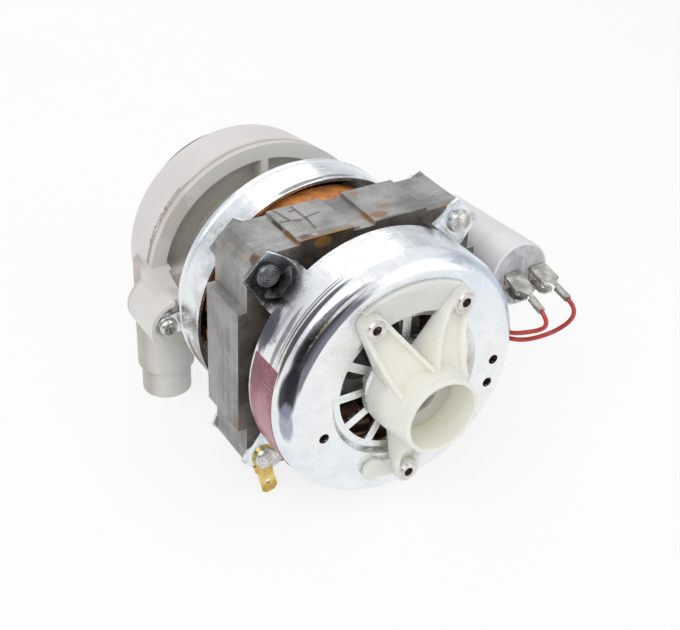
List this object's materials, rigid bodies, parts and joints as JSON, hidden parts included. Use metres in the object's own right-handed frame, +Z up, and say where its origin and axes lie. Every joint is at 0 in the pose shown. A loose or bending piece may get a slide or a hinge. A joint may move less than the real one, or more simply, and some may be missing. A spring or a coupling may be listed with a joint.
{
  "type": "dishwasher circulation pump",
  "caption": "Capacitor motor with open stator stack, pressed end shields and tail sleeve, driving a moulded wash pump with axial inlet and downward outlet.",
  "frame": {"origin": "centre of the inlet's mouth, on the shaft's line", "axes": "+Y out of the inlet along the shaft, +Z up, +X towards the capacitor"},
  "size_m": [0.1426, 0.1677, 0.1086],
  "materials": {
    "lamination_steel": "dull rolled steel edges with light rust",
    "copper_winding": "enamelled copper wire",
    "rotor_steel": "turned lamination steel",
    "cast_aluminium": "as cast",
    "ground_steel": "ground",
    "sintered_bronze": "oiled, dull",
    "spring_steel": "plain",
    "zinc_plate": "bright zinc plate",
    "plated_fastener": "zinc plated",
    "earth_brass": "plain brass",
    "label_film": "plain burgundy film",
    "spider_nylon": "cream, slightly translucent",
    "casing_plastic": "off-white moulding",
    "collar_rubber": "dark blue-black rubber",
    "impeller_plastic": "dark moulding",
    "seal_ceramic": "lapped",
    "seal_rubber": "black rubber and carbon",
    "can_plastic": "pale lavender-grey",
    "lid_plastic": "grey potting face",
    "tinned_brass": "tinned",
    "lead_insulation": "red PVC"
  },
  "bodies": {
    "housing": {"stator_core": "lamination_steel", "main_winding": "copper_winding", "start_winding": "copper_winding", "front_bush": "sintered_bronze", "rear_bush": "sintered_bronze", "front_bush_retainer": "spring_steel", "rear_bush_retainer": "spring_steel", "front_end_shield": "zinc_plate", "rear_end_shield": "zinc_plate", "tie_bolts": "plated_fastener", "tie_nuts": "plated_fastener", "earth_terminal": "earth_brass", "rating_label": "label_film", "tail_spider": "spider_nylon", "spider_eyelets": "plated_fastener", "pump_body": "casing_plastic", "pump_cap": "casing_plastic", "inlet_collar": "collar_rubber", "seal_seat": "seal_ceramic", "pump_screws": "plated_fastener", "capacitor_can": "can_plastic", "capacitor_lid": "lid_plastic", "capacitor_terminals": "tinned_brass", "capacitor_nut": "plated_fastener", "capacitor_bracket": "zinc_plate", "lead_receptacle_1": "tinned_brass", "lead_receptacle_2": "tinned_brass", "lead_1": "lead_insulation", "lead_2": "lead_insulation"},
    "rotor": {"rotor_core": "rotor_steel", "rotor_cage": "cast_aluminium", "shaft": "ground_steel", "thrust_washers": "spring_steel", "retaining_rings": "spring_steel", "impeller": "impeller_plastic", "seal_head": "seal_rubber", "water_slinger": "seal_rubber"}
  },
  "joints": [
    {"name": "rotor_spin", "type": "hinge", "parent": "housing", "child": "rotor", "pos_m": [0, 0, 0], "axis": [0, 1, 0], "continuous": true}
  ]
}
